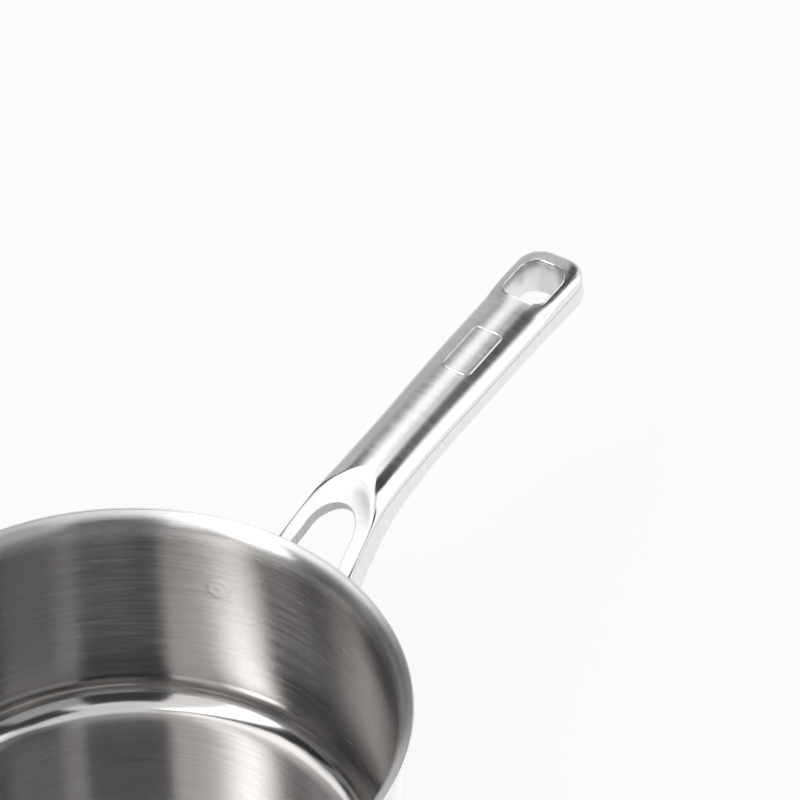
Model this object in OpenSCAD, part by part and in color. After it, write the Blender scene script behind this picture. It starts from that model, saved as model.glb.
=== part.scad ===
// Stainless saucepan with a forked, hollow handle.
// The pan's axis is Z, its base stands on Z = 0 and the handle runs out along +X.
// Along the handle, places are given by the distance s from the saddle's outer face.

/* [Pan] */
// Height of the rim above the table
pan_h = 100; // [80:1:130]
// Outer radius of the straight wall
wall_r = 99.5; // [85:0.5:115]
// Thickness of the sheet
wall_t = 1; // [0.8:0.1:1.4]
// Outer radius of the bend between wall and floor
corner_r = 14; // [8:1:20]
// Radius of the flared pouring rim, on its underside
flare_r = 6; // [4:0.5:8]
// How far the rim is flared, in degrees from upright
flare_turn = 70; // [50:1:85]
// Radius of the bead that closes the rim's edge
bead_r = 0.7; // [0.6:0.1:1]

/* [Base] */
// Radius of the aluminium heat spreader
disc_r = 83.5; // [60:0.5:84]
// Thickness of the heat spreader
disc_t = 4; // [2:0.5:8]
// Thickness of the steel cap under it
cap_t = 0.8; // [0.5:0.1:1.5]
// Chamfer round the cap's lower edge
cap_chamfer = 1; // [0.4:0.1:1.2]

/* [Saddle] */
// Thickness of the plate that carries the handle
saddle_t = 2; // [1.5:0.5:3]
// Width of the plate across the handle
saddle_w = 68; // [62:1:80]
// Height of the plate
saddle_h = 27; // [25:1:34]
// Depth of the plate's centre below the rim
saddle_drop = 32; // [28:1:40]
// Radius of the plate's corners
saddle_r = 8; // [3:1:10]
// Distance between the two spot welds
spot_gap = 53; // [50:1:56]
// Diameter of a spot weld's mark
spot_d = 8; // [5:0.5:9]
// Depth of the mark
spot_depth = 0.4; // [0.2:0.1:0.8]

/* [Handle] */
// Length from the saddle to the tip
handle_len = 190.7; // [180:1:215]
// Width of the grip near its end
grip_w = 27.9; // [25:0.1:31]
// How much narrower each side is at the waist
waist_depth = 0.7; // [0:0.1:1.5]
// Height of the rounded back above the seam
back_h = 5.7; // [5:0.1:8]
// Height of the side below the seam
side_h = 6.7; // [6:0.1:9]
// How far the lower edge of each side stands out
foot_out = 0.9; // [0:0.1:1.5]
// How much deeper the underside is at the tip
tip_drop = 1.6; // [0:0.1:3]
// How far the underside swells below its edges
belly_h = 0.7; // [0.2:0.1:3]
// Wall of both shells
shell_t = 2; // [1.6:0.1:2.4]
// Height of the seam above the rim, at the label
grip_rise = -0.75; // [-4:0.25:6]
// Tilt of the grip at the label, in degrees
grip_tilt = 5.4; // [2:0.1:8]
// Length over which the end is rounded
tip_len = 13.5; // [10:0.5:20]

/* [Fork] */
// Length of the fork gap from the saddle to its crown
fork_len = 38.5; // [34:0.5:44]
// Half the width of the gap at the saddle
gap_hw = 13.9; // [12:0.1:15]
// How much each side of the gap closes in towards its crown
gap_taper = 3.9; // [2:0.1:5]
// Length of the gap's rounded crown
gap_crown = 12; // [9:0.5:15]
// Tilt of the fork's flat face, in degrees
fork_tilt = 26.6; // [23:0.1:29]
// Depth of the face below the rim, at the gap's crown
face_drop = 9.6; // [7:0.1:11]
// Radius with which the face curves up from there to the back
face_curl_r = 31; // [26:1:80]
// Thickness of the fork's plate
plate_t = 5.5; // [4:0.1:6]
// How much further the foot of each leg stands out
flank_flare = 1.7; // [0:0.1:4]
// How far the lower shell's gap is set back from the plate's
gap_back = 3.6; // [3:0.1:4]
// Radius of the weld beads
weld_r = 1.6; // [1:0.1:2.2]

/* [Hanging eye] */
// Length of the hanging eye
eye_len = 23.9; // [18:0.1:26]
// Width of the eye
eye_w = 19.8; // [15:0.1:20.5]
// Land between the eye and the tip
eye_land = 9.5; // [9:0.5:14]
// Corner radius at the eye's inner end
eye_near_r = 5; // [3:0.5:8]
// Corner radius at the eye's outer end
eye_far_r = 8.6; // [6:0.1:9]
// Wall of the eye's liner
liner_t = 1.1; // [0.8:0.1:1.5]
// How much each side of the liner draws in towards the bottom
liner_draw = 0.6; // [0:0.1:2]
// How far the liner's lip stands proud
lip_h = 0.4; // [0.2:0.1:0.8]

/* [Label place] */
// Length of the framed label place
label_len = 25.8; // [18:0.1:28]
// Width of the label place
label_w = 13.4; // [10:0.1:14]
// Corner radius of the frame
label_r = 2.2; // [1.5:0.1:4]
// Width of the frame's raised line
frame_w = 0.9; // [0.6:0.1:1.4]
// Height of the raised line
frame_h = 0.3; // [0.2:0.1:0.6]
// Distance between label place and eye
label_gap = 19.9; // [14:0.1:26]

/* [Hidden] */

// Steel in three finishes, and aluminium
brushed = [0.72, 0.71, 0.71];
polished = [0.82, 0.82, 0.83];
satin = [0.66, 0.66, 0.67];
aluminium = [0.78, 0.79, 0.80];

// One overrun for all cuts, and the land that each shell has along the seam
over = 2;
seam_land = 0.3;
// Steps round a full circle
round_fn = 160;
small_fn = 48;

// The bow of the handle: where its rise and tilt are given, and its radii
bow_at = 124.5;
bow_r = 1900;
dip_at = 50.5;
dip_r = 62.5;
heel_at = 110;
heel_drop = 16.3;
heel_power = 2.6;
deep_at = 138;
waist_at = 76.5;
waist_len = 30;
spread_at = 56.5;
spread_r = 215;
flare_at = 54.5;
flare_len = 36;
// Rounding of the underside's edges, and the width of a shell's edge
under_r = 2.4;
edge_t = 2.5;
// The fork's crease ends at this share of the back's height
crease_share = 0.8;
// Where the cavity of the underside begins and is full
cavity_at = 50.5;
cavity_run = 7;
// How square the sections are
back_power = 2.25;
crown_power = 1.9;

// Levels and radii that follow
floor_z = cap_t + disc_t;
saddle_face = wall_r + saddle_t;
face_slope = tan(fork_tilt);
eye_end = handle_len - eye_land;
eye_start = eye_end - eye_len;
label_middle = eye_start - label_gap - label_len / 2;
cap_r = disc_r + cap_t;

// Smooth step from 0 to 1
function ease(t) = let (c = max(0, min(1, t))) c * c * (3 - 2 * c);
// Height of a superellipse of unit size at the share t of its half-width
function swell(t, p) = pow(max(0, 1 - pow(min(1, abs(t)), p)), 1 / p);

// The bowed line that seam and underside follow
function bow(s) = tan(grip_tilt) * (s - bow_at) - pow(s - bow_at, 2) / (2 * bow_r);
function seam_z(s) = pan_h + grip_rise + bow(s) - pow(max(0, dip_at - s), 2) / (2 * dip_r);
function under_z(s) = pan_h + grip_rise - side_h + bow(s)
    - heel_drop * pow(max(0, heel_at - s) / heel_at, heel_power)
    - tip_drop * ease((s - deep_at) / (handle_len - deep_at));
// The fork's face, flat up to the gap's crown
function face_z(s) = pan_h - face_drop + face_slope * (s - fork_len)
    + pow(max(0, s - fork_len), 2) / (2 * face_curl_r);
// How much of its section is left in the rounded end
function end_share(s) = swell((s - handle_len + tip_len) / tip_len * (s > handle_len - tip_len ? 1 : 0),
                              back_power);
// Half-width of the handle before its end is rounded
function full_hw(s) = grip_w / 2 - waist_depth * exp(-pow((s - waist_at) / waist_len, 2))
    + pow(max(0, spread_at - s), 2) / (2 * spread_r);
function half_w(s) = full_hw(s) * end_share(s);
function flare(s) = (foot_out + flank_flare * ease((flare_at - s) / flare_len)) * end_share(s);

// Where the two shells meet: at the outer edge, and inside it
function part_out_z(s) = min(seam_z(s), face_z(s) - seam_land);
function part_in_z(s) = min(seam_z(s), face_z(s) - plate_t / cos(fork_tilt));

// The back's height above the seam at a share of its half-width
function back_z(s, t, lift = 0) = seam_z(s) + seam_land * end_share(s)
    + (back_h + lift) * end_share(s) * swell(t, back_power);
// The crease between the fork's face and the back
function crease_z(s) = min(face_z(s), back_z(s, 0) - (1 - crease_share) * back_h * end_share(s));
function crease_rise(s) = max(0, crease_z(s) - seam_z(s) - seam_land * end_share(s))
    / (back_h * end_share(s));
function crease_share_y(s) = swell(crease_rise(s), back_power);

// Sections. Each is a list of [y, z] from the +Y edge over the middle to the -Y edge,
// and the inner one has as many points as the outer one.
flank_steps = 6;
face_steps = 4;
function mirrored(half) = concat(half, [for (i = [len(half) - 2:-1:0]) [-half[i][0], half[i][1]]]);
function on_back(s, z) = let (rise = max(0, z - seam_z(s) - seam_land * end_share(s)))
    half_w(s) * swell(rise / (back_h * end_share(s)), back_power);
function top_outer_half(s) = concat(
    [for (k = [0:flank_steps])
        let (z = part_out_z(s) + (crease_z(s) - part_out_z(s)) * sin(90 * k / flank_steps))
        [on_back(s, z), z]],
    [for (k = [1:face_steps])
        let (y = crease_share_y(s) * (1 - k / face_steps))
        [half_w(s) * y, min(face_z(s), back_z(s, y))]]);
function inner_hw(s) = half_w(s) * (1 - edge_t / full_hw(s));
// The cavity ends a wall's thickness before the tip
function cavity_share(s) = end_share(s + 2 * shell_t);
function top_inner_half(s) = let (n = flank_steps + face_steps)
    [for (k = [0:n])
        let (t = cos(90 * k / n))
        [inner_hw(s) * t,
         k == 0 ? part_in_z(s)
                : min(seam_z(s) + (back_h - shell_t) * cavity_share(s) * swell(t, back_power),
                      face_z(s) - plate_t / cos(fork_tilt))]];

corner_steps = 3;
belly_steps = 3;
function under_outer_half(s) = let (
        e = end_share(s),
        foot_y = half_w(s) + flare(s),
        r = under_r * e,
        low = under_z(s) + (1 - e) * under_r,
        top = part_out_z(s))
    concat(
        [[half_w(s), top],
         [half_w(s) + flare(s) / 2, (top + low + r) / 2]],
        [for (k = [0:corner_steps])
            let (a = 90 * k / corner_steps)
            [foot_y - r + r * cos(a), low + r - r * sin(a)]],
        [for (k = [1:belly_steps])
            let (t = 1 - k / belly_steps)
            [(foot_y - r) * t, low - belly_h * e * (1 - t * t)]]);
function under_inner_half(s) = let (
        e = end_share(s),
        n = 1 + corner_steps + belly_steps + 1,
        top = part_in_z(s),
        low = under_z(s) + (1 - e) * under_r - belly_h * e / 2 + shell_t,
        depth = max(0, top - low) * ease((s - cavity_at) / cavity_run) * ease(2 * cavity_share(s)))
    [for (k = [0:n])
        let (t = cos(90 * k / n))
        [inner_hw(s) * t, top - depth * swell(t, 2 * back_power)]];

// A closed skin over matching outer and inner sections, s from first to last
function ring(outer, inner) = concat(mirrored(outer),
    let (m = mirrored(inner)) [for (i = [len(m) - 1:-1:0]) m[i]]);
module skin(stations, rings) {
    n = len(rings[0]);
    last = len(stations) - 1;
    points = [for (i = [0:last]) for (p = rings[i]) [saddle_face + stations[i], p[0], p[1]]];
    // The diagonals are mirrored from one side of the handle to the other
    sides = [for (i = [0:last - 1]) for (j = [0:n - 1])
        let (a = i * n + j, b = i * n + (j + 1) % n, c = a + n, d = b + n)
        each points[a][1] + points[b][1] > 0 ? [[a, c, b], [b, c, d]] : [[a, d, b], [a, c, d]]];
    // Both ends are strips between the outer and the inner half of a ring
    start = [for (j = [0:n / 2 - 2]) let (a = j, b = j + 1, c = n - 1 - j, d = n - 2 - j)
        each j < n / 4 ? [[a, b, c], [b, d, c]] : [[a, d, c], [a, b, d]]];
    end = [for (f = start) [for (k = [0, 2, 1]) f[k] + last * n]];
    polyhedron(points = points, faces = concat(sides, start, end), convexity = 6);
}

// Stations: close together where the fork turns into the grip and round the tip
tip_shares = [0, 0.15, 0.3, 0.44, 0.57, 0.69, 0.79, 0.87, 0.93, 0.97, 0.99, 0.997];
grip_at = 60;
leg_step = 2.2;
grip_step = 8;
leg_from = -4;
tip_from = handle_len - tip_len;
leg_count = round((grip_at - leg_from) / leg_step);
grip_count = round((tip_from - grip_at) / grip_step);
stations = concat(
    [for (i = [0:leg_count - 1]) leg_from + (grip_at - leg_from) * i / leg_count],
    [for (i = [0:grip_count - 1]) grip_at + (tip_from - grip_at) * i / grip_count],
    [for (t = tip_shares) tip_from + tip_len * t]);

crown_steps = 14;

// The tilted frame of the fork's face, with its origin above the gap's crown
module on_face() {
    translate([saddle_face + fork_len, 0, face_z(fork_len)]) rotate([0, -fork_tilt, 0]) children();
}
// Outline of the fork gap on the face, pushed outwards by back
function gap_half(back) = let (
        crown_s = fork_len - gap_crown,
        hw = gap_hw - gap_taper + back,
        reach = gap_crown + back,
        from = leg_from - over)
    concat(
        [[(from - fork_len) / cos(fork_tilt), hw + gap_taper * (crown_s - from) / crown_s]],
        [for (k = [0:crown_steps])
            let (t = sin(90 * k / crown_steps))
            [(crown_s - fork_len + reach * t) / cos(fork_tilt), hw * swell(t, crown_power)]]);
module fork_gap(back) {
    half = gap_half(back);
    outline = concat(half, [for (i = [len(half) - 2:-1:0]) [half[i][0], -half[i][1]]]);
    on_face() translate([0, 0, -pan_h / 2])
        linear_extrude(height = pan_h) polygon(outline);
}

// Plan outlines, seen from above
module rounded_plan(s0, s1, w, near_r, far_r, inset = 0) {
    a = saddle_face + s0 + inset;
    b = saddle_face + s1 - inset;
    hw = w / 2 - inset;
    rn = near_r - inset;
    rf = far_r - inset;
    union() {
        for (side = [-1, 1]) {
            translate([a + rn, side * (hw - rn)]) circle(r = rn, $fn = small_fn);
            translate([b - rf, side * (hw - rf)]) circle(r = rf, $fn = small_fn);
        }
        translate([a + rn, -hw]) square([b - rf - a - rn, 2 * hw]);
        translate([a, -hw + rn]) square([rn + over, 2 * (hw - rn)]);
        translate([b - rf - over, -hw + rf]) square([rf + over, 2 * (hw - rf)]);
    }
}
module eye_plan(inset = 0) {
    rounded_plan(eye_start, eye_end, eye_w, eye_near_r, eye_far_r, inset);
}
module upright(z0, z1) {
    translate([0, 0, z0]) linear_extrude(height = z1 - z0) children();
}

// A closed form from the underside's level to lift above the back, between two stations
form_rows = 20;
form_count = 8;
module back_form(s0, s1, lift) {
    row = [for (k = [0:form_rows]) sin(180 * k / form_rows - 90)];
    places = [for (i = [0:form_count]) s0 + (s1 - s0) * i / form_count];
    rings = [for (s = places) concat(
        [for (t = row) [half_w(s) * t, back_z(s, t, lift)]],
        [for (k = [form_rows:-1:0]) [half_w(s) * row[k], under_z(s) - belly_h]])];
    n = len(rings[0]);
    points = [for (i = [0:form_count]) for (p = rings[i]) [saddle_face + places[i], p[0], p[1]]];
    sides = [for (i = [0:form_count - 1]) for (j = [0:n - 1])
        let (a = i * n + j, b = i * n + (j + 1) % n, c = a + n, d = b + n)
        each [[a, b, c], [b, d, c]]];
    start = [for (j = [0:n / 2 - 2]) let (a = j, b = j + 1, c = n - 1 - j, d = n - 2 - j)
        each [[a, c, b], [b, c, d]]];
    end = [for (f = start) [for (k = [0, 2, 1]) f[k] + form_count * n]];
    polyhedron(points = points, faces = concat(sides, start, end), convexity = 4);
}

// Profile of the pan: half of it, filled, with the wall's outside at r and its bend at bend
module pot_fill(r, bend, z) {
    union() {
        translate([0, z]) square([r - bend, pan_h - z]);
        translate([0, z + bend]) square([r, pan_h - z - bend]);
        translate([r - bend, z + bend]) circle(r = bend, $fn = round_fn);
    }
}
rim_centre_r = wall_r + flare_r;
rim_centre_z = pan_h - bead_r - (flare_r + wall_t / 2) * sin(flare_turn);
module rim_profile() {
    reach = 3 * flare_r;
    turn = flare_turn;
    intersection() {
        translate([rim_centre_r, rim_centre_z]) difference() {
            circle(r = flare_r + wall_t, $fn = round_fn);
            circle(r = flare_r, $fn = round_fn);
        }
        translate([rim_centre_r, rim_centre_z])
            polygon([[0, 0], [-reach, 0], [-reach, reach], [-reach * cos(turn), reach * sin(turn)]]);
    }
    translate([rim_centre_r - (flare_r + wall_t / 2) * cos(turn),
               rim_centre_z + (flare_r + wall_t / 2) * sin(turn)])
        circle(r = bead_r, $fn = small_fn);
}
module vessel_profile() {
    difference() {
        pot_fill(wall_r, corner_r, floor_z);
        pot_fill(wall_r - wall_t, corner_r - wall_t, floor_z + wall_t);
        translate([0, rim_centre_z]) square([wall_r + over, pan_h]);
    }
    rim_profile();
}

module vessel() {
    color(brushed) rotate_extrude($fn = round_fn) vessel_profile();
}

module heat_spreader() {
    color(aluminium) translate([0, 0, cap_t]) cylinder(r = disc_r, h = disc_t, $fn = round_fn);
}

module base_cap() {
    color(satin) rotate_extrude($fn = round_fn) difference() {
        polygon([[0, 0], [cap_r - cap_chamfer, 0], [cap_r, cap_chamfer], [cap_r, floor_z], [0, floor_z]]);
        translate([-over, cap_t]) square([disc_r + over, disc_t + over]);
    }
}

saddle_z = pan_h - saddle_drop;
spot_turn = asin(spot_gap / 2 / wall_r);
module handle_saddle() {
    flat = saddle_w / 2 - saddle_r;
    tall = saddle_h / 2 - saddle_r;
    color(satin) difference() {
        intersection() {
            translate([0, 0, saddle_z - saddle_h]) difference() {
                cylinder(r = saddle_face, h = 2 * saddle_h, $fn = round_fn);
                translate([0, 0, -over]) cylinder(r = wall_r, h = 2 * (saddle_h + over), $fn = round_fn);
            }
            translate([0, 0, saddle_z]) rotate([90, 0, 90]) linear_extrude(height = 2 * wall_r) union() {
                square([2 * flat, saddle_h], center = true);
                square([saddle_w, 2 * tall], center = true);
                for (a = [-1, 1], b = [-1, 1])
                    translate([a * flat, b * tall]) circle(r = saddle_r, $fn = small_fn);
            }
        }
        for (side = [-1, 1])
            rotate([0, 0, side * spot_turn]) translate([saddle_face - spot_depth, 0, saddle_z])
                rotate([0, 90, 0]) cylinder(d = spot_d, h = over, $fn = small_fn);
    }
}

// What the saddle's face cuts away from the legs
module saddle_clear() {
    cylinder(r = saddle_face, h = 2 * pan_h, $fn = round_fn);
}

// The raised line round the label place: a closed ribbon on the back, rooted in the shell
arc_steps = 5;
across_steps = 4;
module label_frame() {
    path = [for (q = [0:3]) let (
            x = (q == 0 || q == 3 ? 1 : -1) * (label_len / 2 - label_r),
            y = (q < 2 ? 1 : -1) * (label_w / 2 - label_r))
        each concat(
            [for (i = [0:arc_steps]) [x, y, 90 * (q + i / arc_steps)]],
            q % 2 == 0 ? [] : [for (i = [1:across_steps - 1])
                [x, y * (1 - 2 * i / across_steps), 90 * (q + 1)]])];
    n = len(path);
    points = [for (p = path) for (c = [[0, -shell_t / 2], [0, frame_h], [frame_w, frame_h],
                                       [frame_w, -shell_t / 2]])
        let (r = label_r - c[0], s = label_middle + p[0] + r * cos(p[2]), y = p[1] + r * sin(p[2]))
        [saddle_face + s, y, back_z(s, y / half_w(s)) + c[1]]];
    faces = [for (i = [0:n - 1]) for (j = [0:3])
        let (a = 4 * i + j, b = 4 * i + (j + 1) % 4, c = 4 * ((i + 1) % n) + j,
             d = 4 * ((i + 1) % n) + (j + 1) % 4)
        each [[a, b, c], [b, d, c]]];
    polyhedron(points = points, faces = faces, convexity = 4);
}

module handle_top() {
    color(brushed) union() {
        difference() {
            skin(stations, [for (s = stations) ring(top_outer_half(s), top_inner_half(s))]);
            fork_gap(0);
            saddle_clear();
            upright(0, 2 * pan_h) eye_plan();
        }
        label_frame();
    }
}

module handle_underside() {
    color(satin) difference() {
        skin(stations, [for (s = stations) ring(under_outer_half(s), under_inner_half(s))]);
        fork_gap(gap_back);
        saddle_clear();
        upright(0, 2 * pan_h) eye_plan();
    }
}

// The eye's inside, wider at the top than at the bottom
module eye_inside(low, high) {
    middle = saddle_face + (eye_start + eye_end) / 2;
    low_inset = liner_t + liner_draw;
    grow = [(eye_len - 2 * liner_t) / (eye_len - 2 * low_inset),
            (eye_w - 2 * liner_t) / (eye_w - 2 * low_inset)];
    translate([middle, 0, low]) linear_extrude(height = high - low, scale = grow)
        translate([-middle, 0]) eye_plan(low_inset);
}
module eye_liner() {
    low = under_z(eye_start) - belly_h;
    high = back_z(eye_end, 0, lip_h) + over;
    color(polished) intersection() {
        difference() {
            upright(low, high) eye_plan();
            eye_inside(low - over, high + over);
        }
        back_form(eye_start - over, eye_end + over, lip_h);
    }
}

// The legs' full section at the saddle, drawn out along the fork's tilt
module leg_core() {
    top = mirrored(top_outer_half(0));
    low = mirrored(under_outer_half(0));
    outline = concat(top, [for (i = [len(low) - 1:-1:0]) low[i]]);
    translate([saddle_face, 0, face_z(0)]) rotate([0, -fork_tilt, 0]) rotate([90, 0, 90])
        translate([0, 0, -saddle_w / 2]) linear_extrude(height = saddle_w)
        polygon([for (p = outline) [p[0], (p[1] - face_z(0)) * cos(fork_tilt)]]);
}
// A bead across one leg, from y0 to y1 at the level z
module bead(side, y0, y1, z) {
    from = atan2(y0, saddle_face);
    to = atan2(y1, saddle_face);
    translate([0, 0, z]) rotate([0, 0, side > 0 ? from : -to])
        rotate_extrude(angle = to - from, $fn = round_fn)
        translate([saddle_face, 0]) circle(r = weld_r, $fn = small_fn);
}
// Beads where the legs meet the saddle, above and below each leg
module leg_welds() {
    leg_in = gap_hw + weld_r;
    leg_out = half_w(0) - weld_r;
    color(satin) difference() {
        for (side = [-1, 1]) {
            bead(side, leg_in, leg_out, back_z(0, (leg_in + leg_out) / 2 / half_w(0)));
            bead(side, leg_in + gap_back, leg_out, under_z(0) - belly_h / 2);
        }
        leg_core();
        saddle_clear();
    }
}

vessel();
heat_spreader();
base_cap();
handle_saddle();
handle_top();
handle_underside();
eye_liner();
leg_welds();
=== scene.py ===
import math

import bmesh
import bpy
import numpy as np
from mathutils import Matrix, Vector


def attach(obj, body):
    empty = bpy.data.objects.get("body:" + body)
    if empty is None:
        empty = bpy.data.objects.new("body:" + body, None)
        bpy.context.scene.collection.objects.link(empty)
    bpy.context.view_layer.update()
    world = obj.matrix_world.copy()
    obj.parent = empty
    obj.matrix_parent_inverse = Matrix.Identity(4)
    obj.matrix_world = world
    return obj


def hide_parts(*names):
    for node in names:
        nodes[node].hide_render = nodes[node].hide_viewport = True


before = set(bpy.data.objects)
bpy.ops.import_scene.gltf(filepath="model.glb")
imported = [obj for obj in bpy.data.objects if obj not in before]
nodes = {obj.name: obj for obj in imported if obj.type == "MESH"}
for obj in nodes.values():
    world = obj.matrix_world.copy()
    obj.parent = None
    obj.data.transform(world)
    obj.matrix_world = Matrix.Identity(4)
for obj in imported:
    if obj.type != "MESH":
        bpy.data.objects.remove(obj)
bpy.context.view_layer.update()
print("frame loaded:", ", ".join(sorted(nodes)))


# Sizes are in millimetres, as in the part's source; makeMesh turns them into metres

pan = {
    "height": 100, "wallRadius": 99.5, "sheet": 1, "cornerRadius": 14, "floorLevel": 4.8, "steps": 256,
    "flareRadius": 6, "flareTurn": 70, "flareEase": 1.6, "flareFlat": 1.8, "beadRadius": 0.7,
    "rimHeight": 9, "floorTo": 19,
}
base = {
    "discRadius": 83.5, "discThickness": 4, "capThickness": 0.8, "capChamfer": 1, "capLip": 0.2,
    "rings": (15, 40, 62), "ringWidth": 0.5, "ringDepth": 0.25, "steps": 192,
}
handle = {
    "length": 190.7, "gripWidth": 27.9, "backHeight": 5.7, "backPower": 2.25, "sideHeight": 6.7,
    "gripRise": -0.75, "gripTilt": 5.4, "bowAt": 124.5, "bowBend": 3800, "dipTo": 50.5, "dipBend": 125,
    "waistDepth": 0.7, "waistAt": 76.5, "waistLength": 30, "rootTo": 56.5, "rootBend": 430,
    "heelTo": 110, "heelDrop": 16.3, "heelPower": 2.6,
    "tipLength": 13.5, "tipDropFrom": 138, "tipDrop": 1.6,
    "footRound": 2.4, "footOut": 0.9, "belly": 0.7, "wall": 2, "edge": 2.5,
    "hollowFrom": 50.5, "hollowLength": 7, "seamLand": 0.3, "grooveHalf": 0.13, "grooveDepth": 0.45,
}
fork = {
    "length": 38.5, "halfGap": 13.9, "taper": 3.9, "crown": 12, "crownPower": 1.9, "tilt": 26.6,
    "drop": 9.6, "curl": 44, "plate": 5.5, "setBack": 3.6, "edgeRound": 0.3,
    "footFlare": 1.7, "flareTo": 54.5, "flareLength": 36,
    "cup": 2.0, "cupFrom": 31, "cupTo": 47, "cupHalf": 12, "cupSoft": 0.01, "cupPower": 0.7,
    "creaseSoft": 1.2, "ridgeSoft": 2.4, "ridgeFrom": 42, "ridgeLength": 8, "ridgeHalf": 10, "ridgeFade": 9,
}
eye = {
    "length": 23.9, "width": 19.8, "land": 9.5, "nearRadius": 5, "farRadius": 8.6,
    "wall": 1.1, "draw": 0.6, "lip": 0.4, "lipDepth": 0.5,
    "flatLead": 5, "flatLength": 14, "flatPower": 4.0,
}
label = {"length": 25.8, "width": 13.4, "radius": 2.9, "line": 0.9, "height": 0.3, "toEye": 19.9}

saddleFace = pan["wallRadius"] + 2
tipFrom = handle["length"] - handle["tipLength"]
eyeEnd = handle["length"] - eye["land"]
eyeStart = eyeEnd - eye["length"]
crownFrom = fork["length"] - fork["crown"]
tilt = math.radians(fork["tilt"])
tiny = 1e-6


# The handle's surfaces, as in the part's source

def ease(t):
    t = np.clip(t, 0, 1)
    return t * t * (3 - 2 * t)


def swell(t, power):
    return np.maximum(0, 1 - np.minimum(1, np.abs(t)) ** power) ** (1 / power)


def bow(s):
    along = s - handle["bowAt"]
    return math.tan(math.radians(handle["gripTilt"])) * along - along ** 2 / handle["bowBend"]


def endShare(s):
    return swell(np.maximum(0, (s - tipFrom) / handle["tipLength"]), handle["backPower"])


def seamLevel(s):
    dip = np.maximum(0, handle["dipTo"] - s) ** 2 / handle["dipBend"]
    return pan["height"] + handle["gripRise"] + bow(s) - dip


def footLevel(s):
    toPan = np.maximum(0, handle["heelTo"] - s) / handle["heelTo"]
    toTip = (s - handle["tipDropFrom"]) / (handle["length"] - handle["tipDropFrom"])
    low = (pan["height"] + handle["gripRise"] - handle["sideHeight"] + bow(s)
           - handle["heelDrop"] * toPan ** handle["heelPower"] - handle["tipDrop"] * ease(toTip))
    return low + (1 - endShare(s)) * handle["footRound"]


def planeLevel(s):
    return pan["height"] - fork["drop"] + math.tan(tilt) * (s - fork["length"])


def fullHalf(s):
    waist = handle["waistDepth"] * np.exp(-((s - handle["waistAt"]) / handle["waistLength"]) ** 2)
    return handle["gripWidth"] / 2 - waist + np.maximum(0, handle["rootTo"] - s) ** 2 / handle["rootBend"]


def halfWidth(s):
    return fullHalf(s) * endShare(s)


def footFlare(s):
    spreading = ease((fork["flareTo"] - s) / fork["flareLength"])
    return (handle["footOut"] + fork["footFlare"] * spreading) * endShare(s)


def partOuter(s):
    return np.minimum(seamLevel(s), planeLevel(s) - handle["seamLand"])


def partInner(s):
    return np.minimum(seamLevel(s), planeLevel(s) - fork["plate"] / math.cos(tilt))


def backLevel(s, y):
    # Round over the grip, and flatter on top round the eye
    t = y / np.maximum(halfWidth(s), tiny)
    e = endShare(s)
    flat = ease((s - eyeStart + eye["flatLead"]) / eye["flatLength"])
    power = handle["backPower"] + (eye["flatPower"] - handle["backPower"]) * flat
    return seamLevel(s) + handle["seamLand"] * e + handle["backHeight"] * e * swell(t, power)


def faceLevel(s, y):
    # Flat along the legs, curving up to the back from the gap's crown on, and most at the sides
    curl = np.maximum(0, s - fork["length"]) ** 2 / (2 * fork["curl"])
    share = ease((s - fork["cupFrom"]) / (fork["cupTo"] - fork["cupFrom"]))
    sides = ((y / fork["cupHalf"]) ** 2 + fork["cupSoft"]) ** fork["cupPower"] * share
    return planeLevel(s) + curl + fork["cup"] * sides


def topLevel(s, y):
    # The lower of the fork's face and the back, blended softly over the ridge
    face, back = faceLevel(s, y), backLevel(s, y)
    onRidge = ease((s - fork["ridgeFrom"]) / fork["ridgeLength"])
    atMiddle = ease((fork["ridgeHalf"] - np.abs(y)) / fork["ridgeFade"])
    soft = fork["creaseSoft"] + fork["ridgeSoft"] * onRidge * atMiddle
    near = np.maximum(soft - np.abs(face - back), 0) / soft
    return np.minimum(face, back) - near * near * soft / 4


def topInnerLevel(s, y):
    half = np.maximum(halfWidth(s) - handle["edge"], tiny)
    e = endShare(s + 2 * handle["wall"])
    dome = (handle["backHeight"] - handle["wall"]) * e * swell(y / half, handle["backPower"])
    return np.minimum(seamLevel(s) + dome, planeLevel(s) - fork["plate"] / math.cos(tilt))


def footHalf(s):
    # Half-width of the underside inside its rounded lower edges
    return halfWidth(s) + footFlare(s) - handle["footRound"] * endShare(s)


def bellyLevel(s, y):
    t = np.clip(y / np.maximum(footHalf(s), tiny), -1, 1)
    return footLevel(s) - handle["belly"] * endShare(s) * (1 - t * t)


def underInnerLevel(s, y):
    e = endShare(s + 2 * handle["wall"])
    top = partInner(s)
    low = footLevel(s) - handle["belly"] * endShare(s) / 2 + handle["wall"]
    hollow = ease((s - handle["hollowFrom"]) / handle["hollowLength"])
    depth = np.maximum(0, top - low) * hollow * ease(2 * e)
    half = np.maximum(halfWidth(s) - handle["edge"], tiny)
    return top - depth * swell(y / half, 2 * handle["backPower"])


def inGroove(s, y, z):
    half, spare, skin = float(halfWidth(s)), 0.02, 0.05
    return (half - handle["grooveDepth"] - spare < y < half - skin
            and abs(z - float(partOuter(s))) < handle["grooveHalf"])


def placeOf(polygon):
    # The polygon's middle in millimetres: along the handle, to the side and up
    c = polygon.center
    return c.x * 1000 - saddleFace, abs(c.y) * 1000, c.z * 1000


# Meshes from grids of points

def addPiece(name, data):
    piece = bpy.data.objects.new(name, data)
    bpy.context.scene.collection.objects.link(piece)
    return piece


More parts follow.
